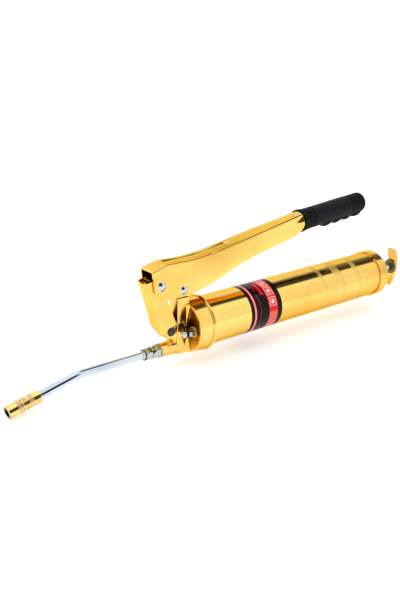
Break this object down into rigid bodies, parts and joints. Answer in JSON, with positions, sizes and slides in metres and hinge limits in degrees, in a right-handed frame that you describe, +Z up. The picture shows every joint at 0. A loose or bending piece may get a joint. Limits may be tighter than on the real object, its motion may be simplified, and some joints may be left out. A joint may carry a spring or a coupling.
{
  "type": "grease gun",
  "caption": "Hand lever grease gun with a barrel, toggle-linked pump lever, sprung follower on a pull rod, bent outlet pipe and jaw coupler.",
  "frame": {"origin": "on the barrel's axis, in the middle of the bare stretch of barrel that a wall clip holds, between the label and the first rolled band", "axes": "+X along the barrel from the coupler towards the pull handle, +Z up towards the pump lever, Y across the gun"},
  "size_m": [0.5864, 0.065, 0.1575],
  "materials": {
    "gold_steel": "polished gold-toned plating",
    "gold_casting": "polished gold-toned plating over a casting",
    "chrome_steel": "bright chrome",
    "plain_steel": "satin",
    "dark_steel": "dark grey",
    "yellow_zinc": "yellow chromate with an iridescent sheen",
    "black_rubber": "matte",
    "seal_rubber": "oily",
    "nylon": "plain",
    "label_film": "black printed film with red bands"
  },
  "bodies": {
    "gun": {"head": "gold_casting", "barrel": "gold_steel", "label_band": "label_film", "end_cap": "gold_steel", "barrel_gasket": "seal_rubber", "link_pin": "dark_steel", "plunger_seal": "seal_rubber", "follower_spring": "plain_steel", "pipe_adapter": "chrome_steel", "adapter_washer": "plain_steel", "pipe_nut": "chrome_steel", "pipe_collar": "chrome_steel", "outlet_pipe": "chrome_steel", "outlet_spring": "plain_steel", "coupler_sleeve": "yellow_zinc", "coupler_body": "yellow_zinc", "spring_seat": "plain_steel", "coupler_spring": "plain_steel", "coupler_ball_spring": "plain_steel", "bleeder_body": "chrome_steel", "bleeder_spring": "plain_steel"},
    "link": {"link": "gold_steel"},
    "lever": {"lever": "gold_steel", "lever_grip": "black_rubber", "lever_rivet": "chrome_steel", "plunger_rivet": "chrome_steel"},
    "plunger": {"plunger": "chrome_steel"},
    "follower": {"follower_front_plate": "plain_steel", "follower_cup": "seal_rubber", "follower_rear_plate": "plain_steel"},
    "pull_rod": {"pull_rod": "chrome_steel", "rod_stop": "plain_steel", "rod_nut": "plain_steel", "handle_hub": "plain_steel", "pull_handle": "gold_steel"},
    "bleeder": {"bleeder_button": "chrome_steel", "bleeder_o_ring": "seal_rubber"},
    "outlet_ball": {"outlet_ball": "chrome_steel"},
    "jaws": {"coupler_jaws": "dark_steel", "coupler_seal": "nylon"},
    "coupler_ball": {"coupler_ball": "chrome_steel"}
  },
  "joints": [
    {"name": "link_rock", "type": "hinge", "parent": "gun", "child": "link", "pos_m": [-0.185, 0, 0.0015], "axis": [0, -1, 0], "range_deg": [-1.3, 0.5]},
    {"name": "lever_swing", "type": "hinge", "parent": "link", "child": "lever", "pos_m": [-0.2, 0, 0.0574], "axis": [0, -1, 0], "range_deg": [0, 40]},
    {"name": "plunger_slide", "type": "slide", "parent": "gun", "child": "plunger", "axis": [0, 0, 1], "range_m": [0, 0.0216]},
    {"name": "follower_slide", "type": "slide", "parent": "gun", "child": "follower", "axis": [1, 0, 0], "range_m": [0, 0.215], "stiffness_N_per_m": 180, "springref_m": -0.1, "deforming": ["follower_spring"]},
    {"name": "rod_turn", "type": "hinge", "parent": "follower", "child": "pull_rod", "pos_m": [0.19, 0, 0], "axis": [1, 0, 0], "continuous": true},
    {"name": "bleeder_push", "type": "slide", "parent": "gun", "child": "bleeder", "axis": [1, 0, 0], "range_m": [0, 0.0012], "stiffness_N_per_m": 1000, "springref_m": -0.002, "deforming": ["bleeder_spring"]},
    {"name": "outlet_ball_lift", "type": "slide", "parent": "gun", "child": "outlet_ball", "axis": [-1, 0, 0], "range_m": [0, 0.0015], "stiffness_N_per_m": 400, "springref_m": -0.002, "deforming": ["outlet_spring"]},
    {"name": "jaws_slide", "type": "slide", "parent": "gun", "child": "jaws", "axis": [0.9763, 0, 0.2164], "range_m": [0, 0.0008], "stiffness_N_per_m": 1000, "springref_m": -0.003, "deforming": ["coupler_spring"]},
    {"name": "coupler_ball_lift", "type": "slide", "parent": "gun", "child": "coupler_ball", "axis": [-0.9763, 0, -0.2164], "range_m": [0, 0.0012], "stiffness_N_per_m": 300, "springref_m": -0.002, "deforming": ["coupler_ball_spring"]}
  ],
  "couplings": [
    {"joint": "link_rock", "follows": "lever_swing", "ratio": -0.029},
    {"joint": "plunger_slide", "follows": "lever_swing", "m_per_rad": 0.03076}
  ]
}
